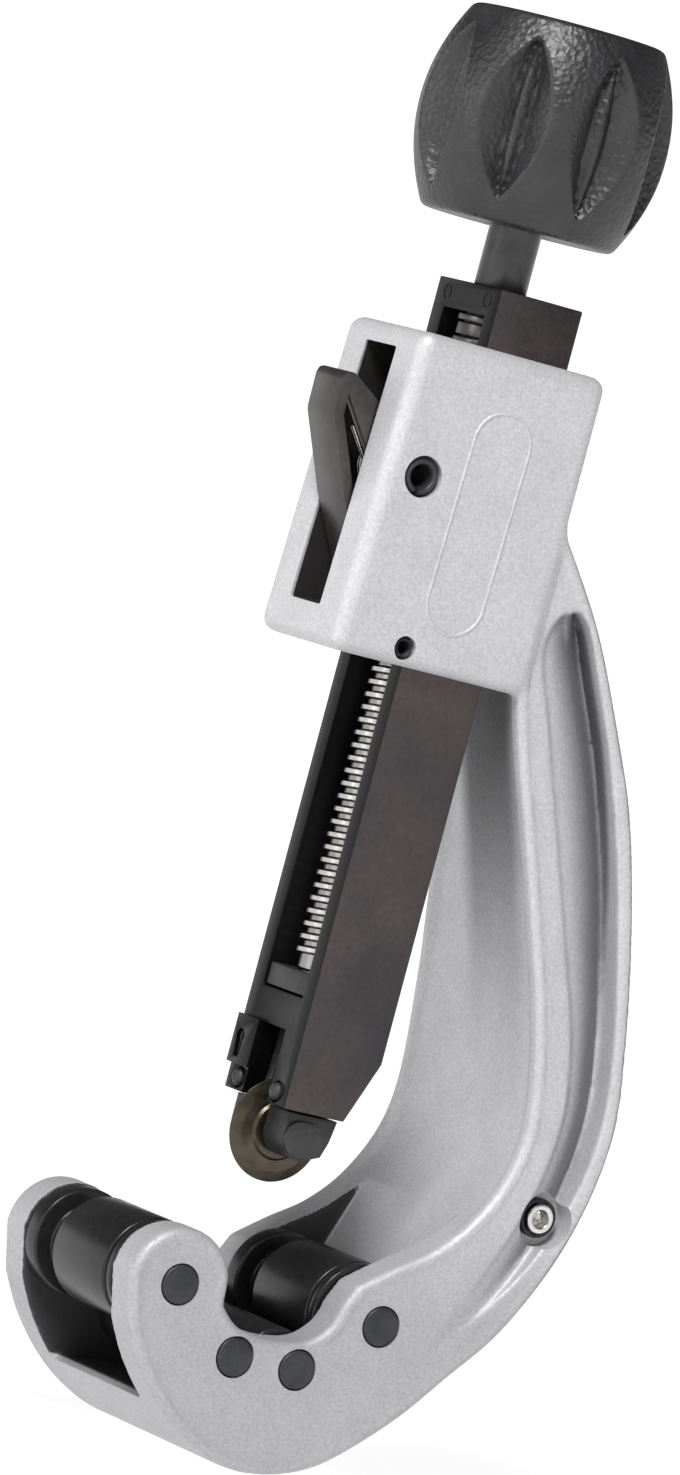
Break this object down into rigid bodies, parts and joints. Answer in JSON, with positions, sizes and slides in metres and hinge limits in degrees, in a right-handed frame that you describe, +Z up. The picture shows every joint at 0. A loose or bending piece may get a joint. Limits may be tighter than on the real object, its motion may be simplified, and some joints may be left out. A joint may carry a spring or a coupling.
{
  "type": "pipe cutter",
  "caption": "Quick-acting tubing cutter: cast C-frame with roller head, feed screw in a guided slide, cutter wheel, fluted knob and release latch.",
  "frame": {"origin": "centre of the bounding box's base, under the roller head", "axes": "+X from the open front of the C-frame to its back, +Y from the near side face to the far side face, +Z up along the feed screw to the knob"},
  "size_m": [0.0892, 0.053, 0.2607],
  "materials": {
    "cast_aluminium": "sand-textured die casting, matt light grey",
    "blackened_steel": "blackened, satin",
    "dark_steel": "dark satin",
    "pin_black": "black oxide",
    "roller_steel": "smooth black oxide",
    "screw_steel": "dark, bright on the thread crests",
    "bright_steel": "bright",
    "wheel_steel": "bronze-brown tempered",
    "bush_rubber": "matt black",
    "knob_plastic": "fine leather-like grain"
  },
  "bodies": {
    "frame": {"frame_casting": "cast_aluminium", "roller_pin_front": "pin_black", "roller_pin_back": "pin_black", "lower_pin_front": "pin_black", "lower_pin_back": "pin_black", "latch_pivot_pin": "pin_black", "slide_guide_pin": "pin_black", "side_screw": "bright_steel", "side_screw_bush": "bush_rubber"},
    "slide": {"slide_body": "blackened_steel", "screw_foot": "dark_steel", "wheel_fork": "dark_steel", "wheel_pin": "dark_steel", "pin_clip": "blackened_steel", "clip_rivet_near": "pin_black", "clip_rivet_far": "pin_black", "upper_thrust_washer": "bright_steel", "thrust_bearing": "bright_steel"},
    "screw": {"feed_screw": "screw_steel", "knob": "knob_plastic", "screw_collar": "dark_steel", "lower_thrust_washer": "bright_steel"},
    "latch": {"latch": "blackened_steel", "half_nut": "bright_steel", "latch_spring": "bright_steel"},
    "wheel": {"cutter_wheel": "wheel_steel"},
    "front_roller": {"roller_front": "roller_steel"},
    "back_roller": {"roller_back": "roller_steel"},
    "front_lower_roller": {"lower_roller_front": "roller_steel"},
    "back_lower_roller": {"lower_roller_back": "roller_steel"}
  },
  "joints": [
    {"name": "slide_travel", "type": "slide", "parent": "frame", "child": "slide", "axis": [0, 0, 1], "range_m": [-0.0202, 0.0515]},
    {"name": "knob_turn", "type": "hinge", "parent": "slide", "child": "screw", "pos_m": [-0.01355, -0.00478, 0.2], "axis": [0, 0, 1], "range_deg": [-3122, 7958]},
    {"name": "latch_press", "type": "hinge", "parent": "frame", "child": "latch", "pos_m": [-0.02725, -0.00478, 0.1774], "axis": [0, 1, 0], "range_deg": [0, 7], "stiffness_Nm_per_rad": 0.5, "springref_deg": -8.59},
    {"name": "wheel_spin", "type": "hinge", "parent": "slide", "child": "wheel", "pos_m": [-0.01355, -0.00478, 0.059], "axis": [0, 1, 0], "continuous": true},
    {"name": "front_roller_spin", "type": "hinge", "parent": "frame", "child": "front_roller", "pos_m": [-0.0346, -0.00478, 0.0303], "axis": [0, 1, 0], "continuous": true},
    {"name": "back_roller_spin", "type": "hinge", "parent": "frame", "child": "back_roller", "pos_m": [0.0075, -0.00478, 0.0303], "axis": [0, 1, 0], "continuous": true},
    {"name": "front_lower_roller_spin", "type": "hinge", "parent": "frame", "child": "front_lower_roller", "pos_m": [-0.02005, -0.00478, 0.0198], "axis": [0, 1, 0], "continuous": true},
    {"name": "back_lower_roller_spin", "type": "hinge", "parent": "frame", "child": "back_lower_roller", "pos_m": [-0.00705, -0.00478, 0.0198], "axis": [0, 1, 0], "continuous": true}
  ],
  "couplings": [
    {"joint": "knob_turn", "follows": "slide_travel", "rad_per_m": 2696.6}
  ]
}
